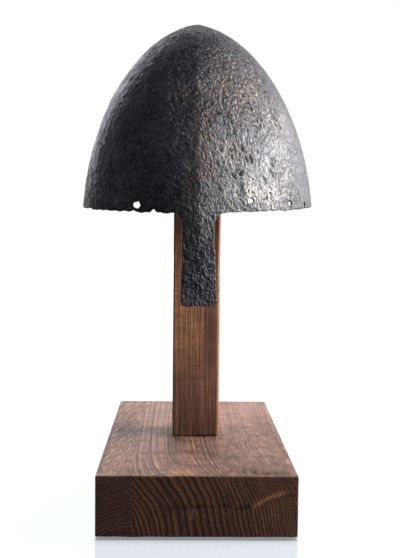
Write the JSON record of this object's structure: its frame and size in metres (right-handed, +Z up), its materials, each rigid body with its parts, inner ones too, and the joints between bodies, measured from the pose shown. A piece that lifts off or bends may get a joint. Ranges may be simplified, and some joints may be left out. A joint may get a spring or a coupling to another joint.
{
  "type": "nasal helmet on display stand",
  "caption": "Pointed iron nasal helmet with a front ridge and lining holes, resting on a padded block on a square wooden post over a plank base; the helmet lifts off.",
  "frame": {"origin": "middle of the stand's footprint, on the surface that its felt feet rest on", "axes": "+Z up along the post; the helmet's nasal faces -Y, so +X is to the right of someone looking at its front"},
  "size_m": [0.2091, 0.3, 0.422],
  "materials": {
    "pitted_iron": "corroded, pitted and waxed, near black with rust-brown patches",
    "stained_pine": "walnut-stained softwood, open grain, satin",
    "stained_pine_post": "walnut-stained softwood, straight grain, satin",
    "plain_pine": "plain softwood, sanded",
    "dark_felt": "black wool felt",
    "zinc_steel": "zinc-plated screw steel"
  },
  "bodies": {
    "stand": {"base_board": "stained_pine", "base_stave": "stained_pine", "post": "stained_pine_post", "post_screw_front": "zinc_steel", "post_screw_back": "zinc_steel", "crown_block": "plain_pine", "crown_screw": "zinc_steel", "crown_pad": "dark_felt", "foot_front_left": "dark_felt", "foot_front_right": "dark_felt", "foot_back_left": "dark_felt", "foot_back_right": "dark_felt"},
    "helmet": {"helmet_bowl": "pitted_iron"}
  },
  "joints": [
    {"name": "helmet_lift", "type": "slide", "parent": "stand", "child": "helmet", "axis": [0, 0, 1], "range_m": [0, 0.25]}
  ]
}
